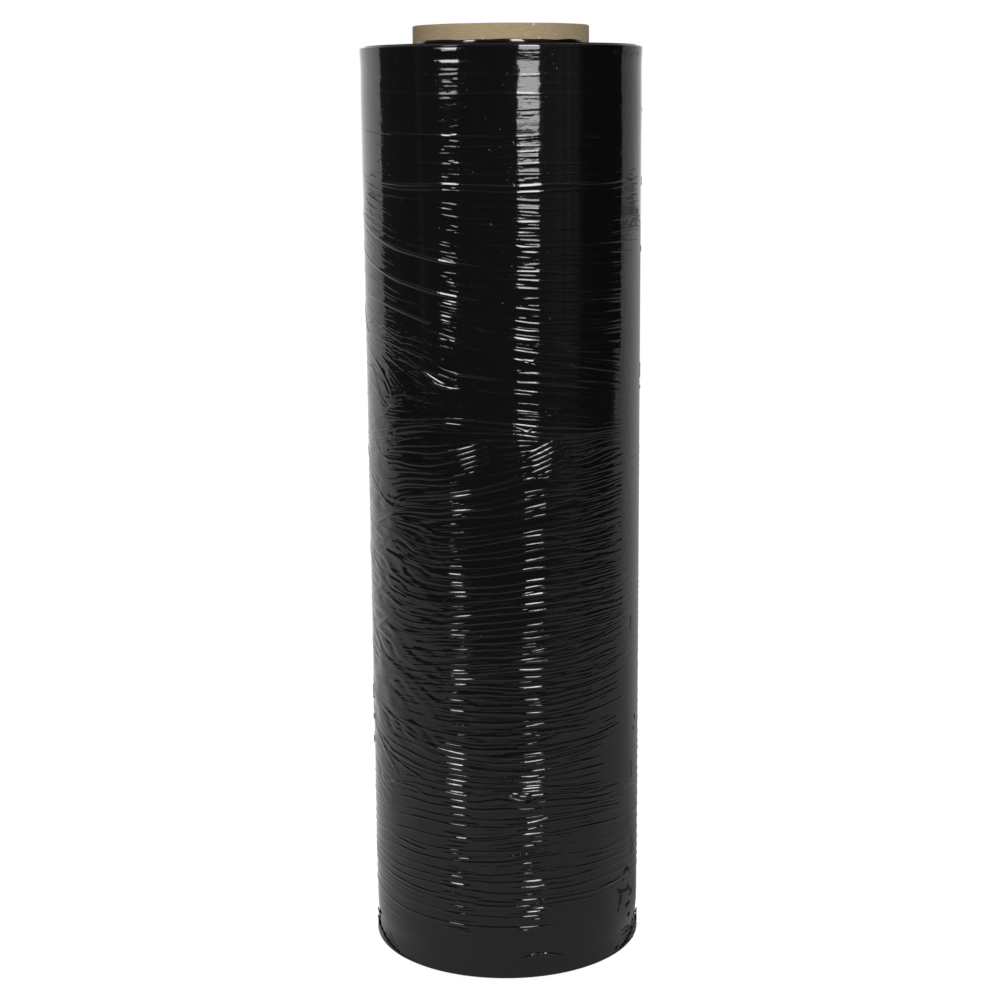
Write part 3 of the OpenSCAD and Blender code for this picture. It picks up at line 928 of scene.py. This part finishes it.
# Torn bits of film that cling to the skin: thickness in millimetres, then angle and depth of each point
SHREDS = (
    (2.60, *picked(LOWER_RIGHT, DOT_PICKS)),
    (2.50, *picked(LOWER_RIGHT, ARCH_PICKS)),
    (3.40, *picked(LOWER_RIGHT, WAVE_PICKS)),
    (2.80, *picked(LOWER_RIGHT, HOOK_PICKS)),
    (3.20, *picked(LOWER_RIGHT, STEM_PICKS)),
    (3.00, (59.0, 425.6), (59.0, 428.0), (58.4, 430.2), (58.2, 432.0)),
    (2.60, (57.2, 423.4), (59.4, 424.6), (61.4, 425.1), (63.6, 425.6), (65.4, 424.8), (67.0, 426.2),
     (69.4, 427.6)),
    (2.20, (62.6, 415.8), (63.4, 414.6), (64.6, 414.8), (65.4, 416.6)),
    (2.20, (67.4, 435.2), (65.6, 435.2), (63.8, 435.5)),
    (2.40, (64.7, 424.4), (66.6, 424.2)),
    (2.80, *picked(LOWER_RIGHT, FOOT_PICKS)),
    (2.60, (67.7, 440.5), (66.9, 441.3), (66.4, 442.2)),
    (1.10, (85.2, 446.6), (84.2, 448.0), (85.4, 449.4), (84.4, 451.0), (85.0, 452.0), (83.4, 453.0)),
    (0.60, (60.9, 450.2), (66.6, 450.5), (73.1, 451.8), (80.0, 454.0)),
    (0.50, (61.6, 452.8), (65.0, 452.9), (71.2, 453.7), (77.8, 455.0)),
    (0.60, (61.6, 448.0), (66.6, 448.2), (71.1, 449.3)),
    (0.70, *picked(LOWER_RIGHT, RIM_PICKS)),
    (0.50, (57.0, 453.7), (55.3, 453.9), (53.9, 455.0)),
    (0.50, (72.5, 334.5), (73.4, 336.5), (74.2, 338.0)),
    (0.50, (71.5, 340.5), (72.2, 342.5)),
    (0.34, (60.0, 63.4), (61.2, 62.4), (62.4, 64.4), (63.8, 63.0), (65.0, 64.2), (66.4, 63.4)),
    (0.80, (85.0, 63.5), (86.6, 65.5), (85.8, 67.5)),
    (0.60, (86.0, 97.0), (86.8, 100.0)),
    (0.50, (86.2, 30.0), (87.0, 32.0)),
    (0.90, (85.6, 155.0), (86.8, 157.0), (86.0, 160.0), (87.0, 163.0)),
    (0.60, (86.4, 167.0), (87.0, 169.0)),
    (0.24, (66.0, 280.0), (67.2, 283.0), (66.4, 286.0), (67.6, 289.0)),
    (0.22, (68.0, 357.0), (69.0, 362.0), (68.4, 367.0)),
    (0.22, (70.0, 398.0), (71.0, 404.0), (70.6, 410.0)),
    (0.34, (48.5, 3.0), (49.4, 5.0), (50.6, 3.6), (51.2, 6.4)),
    (0.34, (51.8, 6.0), (52.6, 3.4), (54.4, 4.2), (55.0, 7.4)),
    (0.30, (56.6, 3.0), (57.8, 5.6), (59.4, 3.2), (60.6, 5.2)),
    (0.34, (62.4, 6.6), (64.0, 4.0), (66.4, 5.2), (67.4, 3.0)),
    (0.30, (69.0, 3.4), (71.6, 5.6), (73.0, 3.2), (76.0, 4.4)),
    (0.90, *picked(LOWER_LEFT, CURL_PICKS)),
    (1.50, (-85.0, 449.8), (-82.0, 451.4), (-78.6, 452.5), *picked(LOWER_LEFT, ROPE_PICKS)),
    (0.34, (-66.6, 449.6), (-63.4, 450.4), (-60.8, 450.9)),
    (0.80, (52.0, 456.2), (58.0, 455.8), (64.0, 454.8), (70.0, 453.2), (76.0, 450.6), (82.0, 447.2)),
    (0.45, (-66.0, 452.0), (-61.0, 452.4), (-56.0, 454.0)),
    (0.35, (70.0, 455.4), (76.0, 453.6), (82.0, 450.6)),
    (0.60, (-66.6, 453.2), (-63.0, 454.8), (-59.0, 455.0)),
    (0.50, (14.2, 445.6), (15.0, 445.0)),
    (0.70, (-86.6, 322.0), (-85.8, 326.0), (-86.4, 330.0)),
    (0.60, (-86.4, 338.0), (-85.6, 341.0)),
    (0.60, (-86.2, 350.0), (-85.4, 354.0)),
)


def film_shreds():
    """Thin crinkled strings of torn film, which lie on the skin."""
    rng = np.random.default_rng(17)
    bpy.ops.object.select_all(action="DESELECT")
    bpy.ops.curve.primitive_nurbs_path_add()
    piece = bpy.context.object
    piece.name = "film_shreds"
    curve = piece.data
    curve.splines.clear()
    curve.dimensions = "3D"
    curve.bevel_depth = 0.5 * MM
    curve.bevel_resolution = 1
    curve.use_fill_caps = True
    for thickness, *points in SHREDS:
        turns, depths = np.array(points, float).T
        along = np.linspace(0, len(turns) - 1, 5 * len(turns))
        angle = np.interp(along, np.arange(len(turns)), turns) + rng.normal(0, 0.16, len(along))
        depth = np.interp(along, np.arange(len(turns)), depths) + rng.normal(0, 0.13, len(along))
        taper = np.sin(np.linspace(0.35, 2.8, len(along))) ** 0.5
        size = thickness * rng.uniform(0.6, 1.15, len(along)) * taper
        out = FILM_R - (0.5 * size + 0.02) * MM
        spline = curve.splines.new("POLY")
        spline.points.add(len(along) - 1)
        for point, turn, below, away, thick in zip(spline.points, np.radians(angle), depth, out, size):
            point.co = (away * math.sin(turn), -away * math.cos(turn), FILM_Z1 - below * MM, 1)
            point.radius = thick
    only_this(piece)
    bpy.ops.object.convert(target="MESH")
    piece = bpy.context.object
    piece.data.name = piece.name
    finish_mesh(piece, merge=False)
    return piece


PLY_T = 0.28 * MM


def core_board(sizes):
    """The cardboard tube, with rounded, slightly uneven cut rims whose plies show."""
    columns = 180
    angles = np.linspace(-180, 180, columns, endpoint=False)
    rng = np.random.default_rng(3)
    bend = sizes.rim_round
    turns = np.radians(np.linspace(0, 90, 6))
    plies = np.arange(BORE_R + bend, CORE_R - bend, PLY_T)[1:]
    r = np.concatenate([BORE_R + bend - bend * np.cos(turns), plies, CORE_R - bend + bend * np.sin(turns)])
    rough = rng.uniform(0, 0.1 * MM, len(plies))
    drop = np.concatenate([bend - bend * np.sin(turns), rough, bend - bend * np.cos(turns)])
    wave = 0.05 * MM * np.sin(np.radians(angles) * 5) * (drop[:, None] < bend * 0.9)
    down = drop[:, None] + np.abs(wave)
    r = np.repeat(r[:, None], columns, axis=1)
    radius = np.vstack([r, r[::-1]])
    height = np.vstack([down, CORE_TOP - down[::-1]])
    return wound_sheet("core_board", radius, angles, height)


def empty_tree(block):
    """The node tree of a material or a world, emptied."""
    block.use_nodes = True
    block.node_tree.nodes.clear()
    return block.node_tree


def new_material(name):
    """A material, its node tree and its Principled shader, joined to the output."""
    material = bpy.data.materials.new(name)
    tree = empty_tree(material)
    shader = tree.nodes.new("ShaderNodeBsdfPrincipled")
    output = tree.nodes.new("ShaderNodeOutputMaterial")
    tree.links.new(shader.outputs["BSDF"], output.inputs["Surface"])
    return material, tree, shader


def plain_film(name, colour, roughness, specular=0.5):
    """Film without wrinkles: its material, node tree and shader."""
    material, tree, shader = new_material(name)
    shader.inputs["Base Color"].default_value = colour
    shader.inputs["Roughness"].default_value = roughness
    shader.inputs["Specular IOR Level"].default_value = specular
    shader.inputs["IOR"].default_value = FILM_IOR
    return material, tree, shader


def attribute(tree, name):
    """A node that reads what is stored for each point under that name."""
    node = tree.nodes.new("ShaderNodeAttribute")
    node.attribute_name = name
    return node


def stretched(tree, place, scale):
    """Places scaled along each axis."""
    node = tree.nodes.new("ShaderNodeMapping")
    node.inputs["Scale"].default_value = scale
    tree.links.new(place, node.inputs["Vector"])
    return node.outputs["Vector"]


def noise(tree, place, scale, detail, distortion=0):
    """Noise over those places."""
    node = tree.nodes.new("ShaderNodeTexNoise")
    node.inputs["Scale"].default_value = scale
    node.inputs["Detail"].default_value = detail
    node.inputs["Distortion"].default_value = distortion
    tree.links.new(place, node.inputs["Vector"])
    return node.outputs["Fac"]


def peaks(tree, level, low, high, blend="LINEAR"):
    """Nothing where the level is low, one where it is high."""
    node = tree.nodes.new("ShaderNodeMapRange")
    node.interpolation_type = blend
    node.inputs["From Min"].default_value = low
    node.inputs["From Max"].default_value = high
    tree.links.new(level, node.inputs["Value"])
    return node.outputs["Result"]


def bumped(tree, level, height, strength=1, under=None):
    """A normal with bumps of that height in metres, on top of another normal."""
    node = tree.nodes.new("ShaderNodeBump")
    node.inputs["Strength"].default_value = strength
    node.inputs["Distance"].default_value = height
    tree.links.new(level, node.inputs["Height"])
    if under:
        tree.links.new(under, node.inputs["Normal"])
    return node.outputs["Normal"]


def maths(tree, operation, first, second):
    """A socket worked out from two others, or from one and a number."""
    node = tree.nodes.new("ShaderNodeMath")
    node.operation = operation
    tree.links.new(first, node.inputs[0])
    if isinstance(second, float):
        node.inputs[1].default_value = second
    else:
        tree.links.new(second, node.inputs[1])
    return node.outputs[0]


def mixed(tree, share, first, second):
    """Two shaders mixed by a share of the second one."""
    node = tree.nodes.new("ShaderNodeMixShader")
    tree.links.new(share, node.inputs["Fac"])
    tree.links.new(first, node.inputs[1])
    tree.links.new(second, node.inputs[2])
    return node.outputs[0]


# Fine wrinkles of the film, as noises: scale along and across the creases, detail, distortion,
# height in metres, and whether they follow the ruffled places
FILM_NOISES = (
    (40, 700, 3, 0.6, 0.00009, True),
    (230, 330, 2, 0.0, 0.00007, False),
    (420, 25, 1, 0.0, 0.000025, False),
)


def film_material(finish):
    """Glossy black film, with fine wrinkles that run along its creases."""
    material, tree, shader = plain_film("black_film", finish.film_colour, finish.film_roughness)
    flow = attribute(tree, "flow").outputs["Vector"]
    ruffle = attribute(tree, "ruffle").outputs["Fac"]
    normal = None
    for along, across, detail, distortion, height, ruffled in FILM_NOISES:
        level = noise(tree, stretched(tree, flow, (along, along, across)), 1, detail, distortion)
        if ruffled:
            level = maths(tree, "MULTIPLY", level, ruffle)
        normal = bumped(tree, level, height, under=normal)
    # Sparse specks that stand out of the film
    specks = peaks(tree, noise(tree, flow, 650, 1), 0.735, 0.8, "SMOOTHSTEP")
    normal = bumped(tree, specks, 0.000035, under=normal)
    tree.links.new(normal, shader.inputs["Normal"])
    return material


def edge_material(finish):
    """The turns' edges on the end faces."""
    return plain_film("film_edges", finish.film_colour, finish.edge_roughness)[0]


def torn_material(finish):
    """Torn film, which is duller than the skin."""
    return plain_film("torn_film", finish.torn_colour, 0.4, 0.12)[0]


def board_material(finish):
    """Kraft cardboard with fibres and pale flecks."""
    material, tree, shader = new_material("core_kraft")
    shader.inputs["Roughness"].default_value = 0.85
    place = tree.nodes.new("ShaderNodeTexCoord").outputs["Object"]
    fibres = noise(tree, stretched(tree, place, (260, 260, 1400)), 1, 5)
    board = tree.nodes.new("ShaderNodeMix")
    board.data_type = "RGBA"
    board.inputs[6].default_value = finish.board_fibre
    board.inputs[7].default_value = finish.board_colour
    tree.links.new(fibres, board.inputs[0])
    flecked = tree.nodes.new("ShaderNodeMix")
    flecked.data_type = "RGBA"
    flecked.inputs[7].default_value = (0.6, 0.56, 0.48, 1)
    tree.links.new(peaks(tree, noise(tree, place, 420, 1), 0.72, 0.76), flecked.inputs[0])
    tree.links.new(board.outputs[2], flecked.inputs[6])
    tree.links.new(flecked.outputs[2], shader.inputs["Base Color"])
    tree.links.new(bumped(tree, fibres, 0.00008, 0.6), shader.inputs["Normal"])
    return material


def seat(piece, node, material):
    """Gives a piece its material and its place on the roll, and hides the CAD node that it stands for."""
    piece.data.materials.clear()
    piece.data.materials.append(material)
    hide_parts(node)
    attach(piece, "root")


class ROLL_OT_core(bpy.types.Operator):
    """Build the cardboard core"""

    bl_idname = "roll.core"
    bl_label = "Cardboard Core"

    def execute(self, context):
        scene = context.scene
        seat(core_board(scene.roll_sizes), "core_tube", board_material(scene.roll_finish))
        return {"FINISHED"}


class ROLL_OT_film(bpy.types.Operator):
    """Build the wound film: its inner turns and its creased skin"""

    bl_idname = "roll.film"
    bl_label = "Wound Film"

    def execute(self, context):
        scene = context.scene
        seat(film_turns(scene.roll_sizes), "film_roll", edge_material(scene.roll_finish))
        skin = film_material(scene.roll_finish)
        ends = np.linspace(0, LAST_ROW, len(SLEEVES) + 1).astype(int)
        for name, first, last in zip(SLEEVES, ends, ends[1:]):
            seat(film_skin(scene.roll_sizes, "film_skin_" + name, first, last), "film_roll", skin)
        seat(film_collar(scene.roll_sizes), "film_roll", skin)
        seat(film_shreds(), "film_roll", torn_material(scene.roll_finish))
        return {"FINISHED"}


def screen_material(name):
    """A material that only glows, by the painted shade stored in its mesh, for the sheets that paint
    reflections.
    """
    material = bpy.data.materials.new(name)
    tree = empty_tree(material)
    shine = tree.nodes.new("ShaderNodeEmission")
    tree.links.new(attribute(tree, "shade").outputs["Fac"], shine.inputs["Strength"])
    output = tree.nodes.new("ShaderNodeOutputMaterial")
    tree.links.new(shine.outputs["Emission"], output.inputs["Surface"])
    return material


def shade_points(piece, name, values):
    """Stores one number for each point of the piece's mesh."""
    layer = piece.data.attributes.new(name, "FLOAT", "POINT")
    layer.data.foreach_set("value", np.asarray(values, float))


# Painted reflection of the dark room all round, as the film mirrors it, with painted glints at some
# bearings: bearing from the front, glow
ROOM_REFLECTION_GLOW = (
    (-114, 0.09), (-96, 0.08), (-80, 0.07), (-72, 0.08), (-69, 0.15), (-66, 0.08), (-40, 0.07), (0, 0.07),
    (30, 0.09), (40, 0.13), (43, 0.16), (45, 0.13), (48, 0.18), (50, 0.12), (53, 0.14), (55, 0.19),
    (57, 0.12), (60, 0.15), (63, 0.12), (68, 0.03), (80, 0.02), (114, 0.02),
)

# Painted reflection of the white table all round: bearing, how far its bright glow reaches, its glow, and
# the dark glow past it
TABLE = (
    (-180, 5.7, 0.80, 0.9), (-141, 5.7, 0.95, 0.95), (-125, 5.7, 0.85, 0.85), (-101, 1.5, 0.60, 0.06),
    (-90, 1.15, 0.54, 0.05), (-70, 0.98, 0.50, 0.06), (-45, 0.68, 0.50, 0.08), (-20, 0.51, 0.49, 0.08),
    (0, 0.48, 0.46, 0.08), (20, 0.51, 0.45, 0.08), (45, 0.66, 0.43, 0.08), (70, 0.90, 0.39, 0.05),
    (90, 1.02, 0.40, 0.04), (101, 1.3, 0.42, 0.04), (125, 5.7, 0.56, 0.56), (141, 5.7, 0.61, 0.61),
    (158, 5.7, 0.51, 0.6), (172, 5.7, 0.42, 0.7), (180, 5.7, 0.75, 0.9),
)

# Painted shadow in the table's reflection: how much of its glow the table keeps close to the roll at the two
# sides, where the roll's shadow falls: distance, share left, share right
TABLE_NEAR_SHADOW = ((0.05, 0.66, 0.26), (0.12, 0.70, 0.34), (0.45, 0.82, 0.62), (1.0, 0.95, 0.78), (2.5, 1.0, 1.0))


# The glowing sheet that paints the dark room's reflection: its distance, how far it reaches to either side,
# and its rows of points, of which the close ones glow unevenly in front of the roll, as painted reflection
ROOM_R = 2.4
ROOM_REACH = 114.0
ROOM_CLOSE_ROWS = 25
ROOM_HEIGHTS = (*np.linspace(0, 0.6, ROOM_CLOSE_ROWS), 1.0, 1.4, 3.2)
ROOM_UNEVEN_REACH = 100


def room_reflection_screen():
    """A sheet in front, curved from one side of the roll to the other, that glows only in the film's gloss:
    a painted reflection of the dark room.
    """
    steps = len(ROOM_HEIGHTS) - 1
    screen = flat_grid("room_reflection_screen", 228, steps)
    rng = np.random.default_rng(31)
    shades = []
    for vertex in screen.data.vertices:
        bearing = vertex.co.x * 2 * ROOM_REACH
        turn = math.radians(bearing)
        step = round((vertex.co.y + 0.5) * steps)
        up = ROOM_HEIGHTS[step]
        vertex.co = (ROOM_R * math.sin(turn), -ROOM_R * math.cos(turn), up)
        # Painted reflection: the room glows brighter higher up, so that upturned creases show pale.
        high = float(np.interp(up, (0.6, 1.4), (0, 0.24)) * inside(bearing, -112, 75, 6))
        # Painted reflection: close down in front of the roll, the glow is blotchy at random.
        is_uneven = step < ROOM_CLOSE_ROWS and abs(bearing) < ROOM_UNEVEN_REACH
        uneven = rng.uniform(0.5, 1.6) if is_uneven else 1.0
        shades.append(float(np.interp(bearing, *np.array(ROOM_REFLECTION_GLOW).T)) * uneven + high)
    shade_points(screen, "shade", shades)
    screen.data.materials.append(screen_material("painted_room_reflection"))
    return screen


# The glowing sheet that paints the table's reflection: its height, where it starts and ends, and the
# share of the glow that counts as the table's right, by bearing
SHEET_HEIGHT = 0.002
SHEET_IN, SHEET_OUT = 0.05, 5.95
RIGHT_SHARE = ((-180, 0.5), (-166, 0), (-60, 0), (60, 1), (166, 1), (180, 0.5))


def table_sheen():
    """A painted reflection of the white table: a glowing sheet over the floor, seen only in gloss, with a
    painted shadow close to the roll at the sides, that turns dark past its reach.
    """
    rows = 7
    sheen = flat_grid("table_sheen", 120, rows)
    shades = []
    bearings, *columns = np.array(TABLE).T
    distances, *shares = np.array(TABLE_NEAR_SHADOW).T
    for vertex in sheen.data.vertices:
        bearing = vertex.co.x * 360
        turn = math.radians(bearing)
        step = round((vertex.co.y + 0.5) * rows)
        reach, glow, beyond = (float(np.interp(bearing, bearings, column)) for column in columns)
        span = reach - 0.28
        inner = (SHEET_IN, 0.12, 0.12 + 0.06 * span, 0.12 + 0.3 * span)
        out = (*inner, reach - 0.16, reach, reach + 0.14, SHEET_OUT)[step]
        right = float(np.interp(bearing, *np.array(RIGHT_SHARE).T))
        left_near, right_near = (float(np.interp(out, distances, share)) for share in shares)
        near = left_near + right * (right_near - left_near)
        side = float(np.interp(abs(bearing), (85, 120), (0, 1)))
        # Painted shadow: close to the roll at the sides, the glow fades.
        lit = glow * (1 - side * (1 - near))
        shades.append((lit, lit, lit, lit, lit, (lit + beyond) / 2, beyond, beyond)[step])
        vertex.co = (out * math.sin(turn), -out * math.cos(turn), SHEET_HEIGHT)
    shade_points(sheen, "shade", shades)
    sheen.data.materials.append(screen_material("table_sheen"))
    return sheen


def ceiling_reflection_screen():
    """A disc over the roll that glows dimly, seen only in gloss: a painted reflection of the dark ceiling.
    """
    bpy.ops.object.select_all(action="DESELECT")
    bpy.ops.mesh.primitive_circle_add(vertices=48, radius=2.5, fill_type="NGON", location=(0, 0, 1.7))
    ceiling = bpy.context.object
    ceiling.name = "ceiling_reflection_screen"
    shade_points(ceiling, "shade", [0.16] * len(ceiling.data.vertices))
    ceiling.data.materials.append(screen_material("painted_ceiling_reflection"))
    return ceiling


def seen_in_gloss_only(piece):
    """The piece shows in reflections and nowhere else."""
    piece.visible_camera = False
    piece.visible_diffuse = False
    piece.visible_transmission = False
    piece.visible_volume_scatter = False
    piece.visible_shadow = False


# Soft rectangles of light that face the roll: name, angle from the front, lower edge, width, height,
# radiance
LAMPS = (
    ("lamp_right_low", 21.4, 0.375, 0.43, 0.25, 8.5),
    ("lamp_right_high", 21.4, 0.625, 0.43, 0.9, 20),
    ("lamp_left_low", -41.6, 0.54, 0.36, 0.23, 7),
    ("lamp_left_high", -41.6, 0.77, 0.36, 0.65, 19),
)
LAMP_DISTANCE = 1.5


def lamp(name, angle, low, width, height, radiance):
    """One soft rectangle of light."""
    turn = math.radians(angle)
    place = (LAMP_DISTANCE * math.sin(turn), -LAMP_DISTANCE * math.cos(turn), low + height / 2)
    bpy.ops.object.light_add(type="AREA", location=place, rotation=(math.pi / 2, 0, turn))
    light = bpy.context.object
    light.name = name
    light.data.shape = "RECTANGLE"
    light.data.size = width
    light.data.size_y = height
    light.data.energy = radiance * math.pi * width * height
    light.visible_camera = False


def floor_plane():
    """A pale floor, which the camera sees brighter than the lamps make it."""
    bpy.ops.object.select_all(action="DESELECT")
    bpy.ops.mesh.primitive_plane_add(size=12, location=(0, 0, 0))
    floor = bpy.context.object
    floor.name = "floor"
    material = bpy.data.materials.new("floor")
    tree = empty_tree(material)
    matt = tree.nodes.new("ShaderNodeBsdfDiffuse")
    matt.inputs["Color"].default_value = (0.6, 0.6, 0.6, 1)
    glow = tree.nodes.new("ShaderNodeEmission")
    glow.inputs["Strength"].default_value = 1.29
    seen = tree.nodes.new("ShaderNodeLightPath").outputs["Is Camera Ray"]
    share = maths(tree, "MULTIPLY", seen, 0.75)
    output = tree.nodes.new("ShaderNodeOutputMaterial")
    tree.links.new(mixed(tree, share, matt.outputs[0], glow.outputs[0]), output.inputs["Surface"])
    floor.data.materials.append(material)
    return floor


def backdrop(tree, strength):
    """White light of that strength from all round."""
    node = tree.nodes.new("ShaderNodeBackground")
    node.inputs["Color"].default_value = (1, 1, 1, 1)
    node.inputs["Strength"].default_value = strength
    return node


def studio_world():
    """White to the camera, dim as light, and in the gloss brighter on the left than on the right."""
    world = bpy.data.worlds.new("studio")
    tree = empty_tree(world)
    seen, light, gloss = (backdrop(tree, strength) for strength in (1, 0.34, 1))
    where = tree.nodes.new("ShaderNodeTexCoord")
    split = tree.nodes.new("ShaderNodeSeparateXYZ")
    tree.links.new(where.outputs["Generated"], split.inputs[0])
    ramp = tree.nodes.new("ShaderNodeMapRange")
    ramp.inputs["From Min"].default_value = -0.05
    ramp.inputs["From Max"].default_value = 0.9
    ramp.inputs["To Min"].default_value = 1.05
    ramp.inputs["To Max"].default_value = 0.4
    tree.links.new(split.outputs["X"], ramp.inputs["Value"])
    tree.links.new(ramp.outputs["Result"], gloss.inputs["Strength"])
    path = tree.nodes.new("ShaderNodeLightPath").outputs
    mirror = maths(tree, "MAXIMUM", path["Is Glossy Ray"], path["Is Transmission Ray"])
    mirrored = mixed(tree, mirror, light.outputs[0], gloss.outputs[0])
    both = mixed(tree, path["Is Camera Ray"], mirrored, seen.outputs[0])
    output = tree.nodes.new("ShaderNodeOutputWorld")
    tree.links.new(both, output.inputs["Surface"])
    return world


class ROLL_OT_studio(bpy.types.Operator):
    """Build the floor, the screens, the lamps and the camera"""

    bl_idname = "roll.studio"
    bl_label = "Studio"

    def execute(self, context):
        scene = context.scene
        studio = scene.roll_studio
        floor_plane()
        for screen in (room_reflection_screen(), table_sheen(), ceiling_reflection_screen()):
            seen_in_gloss_only(screen)
        for one in LAMPS:
            lamp(*one)
        scene.world = studio_world()

        bpy.ops.object.camera_add()
        camera = context.object
        camera.name = "camera"
        camera.data.sensor_width = SENSOR_WIDTH
        camera.data.lens = studio.lens
        camera.matrix_world = eye_matrix(
            studio.eye_distance, studio.eye_drop, studio.eye_pitch, studio.eye_yaw, studio.eye_roll)
        scene.camera = camera
        scene.view_settings.view_transform = "Standard"
        return {"FINISHED"}


class ROLL_PT_panel(bpy.types.Panel):
    """Panel that lists the steps"""

    bl_idname = "ROLL_PT_panel"
    bl_label = "Stretch Wrap Roll"
    bl_space_type = "VIEW_3D"
    bl_region_type = "UI"
    bl_category = "Wrap Roll"

    def draw(self, context):
        layout = self.layout
        for step in (ROLL_OT_core, ROLL_OT_film, ROLL_OT_studio):
            layout.operator(step.bl_idname)


CLASSES = (RollSizes, RollFinish, StudioSettings, ROLL_OT_core, ROLL_OT_film, ROLL_OT_studio, ROLL_PT_panel)


def register():
    for one in CLASSES:
        bpy.utils.register_class(one)
    bpy.types.Scene.roll_sizes = bpy.props.PointerProperty(type=RollSizes)
    bpy.types.Scene.roll_finish = bpy.props.PointerProperty(type=RollFinish)
    bpy.types.Scene.roll_studio = bpy.props.PointerProperty(type=StudioSettings)


def unregister():
    del bpy.types.Scene.roll_sizes, bpy.types.Scene.roll_finish, bpy.types.Scene.roll_studio
    for one in reversed(CLASSES):
        bpy.utils.unregister_class(one)


def main():
    register()
    bpy.ops.roll.core()
    bpy.ops.roll.film()
    bpy.ops.roll.studio()


if __name__ == "__main__":
    main()
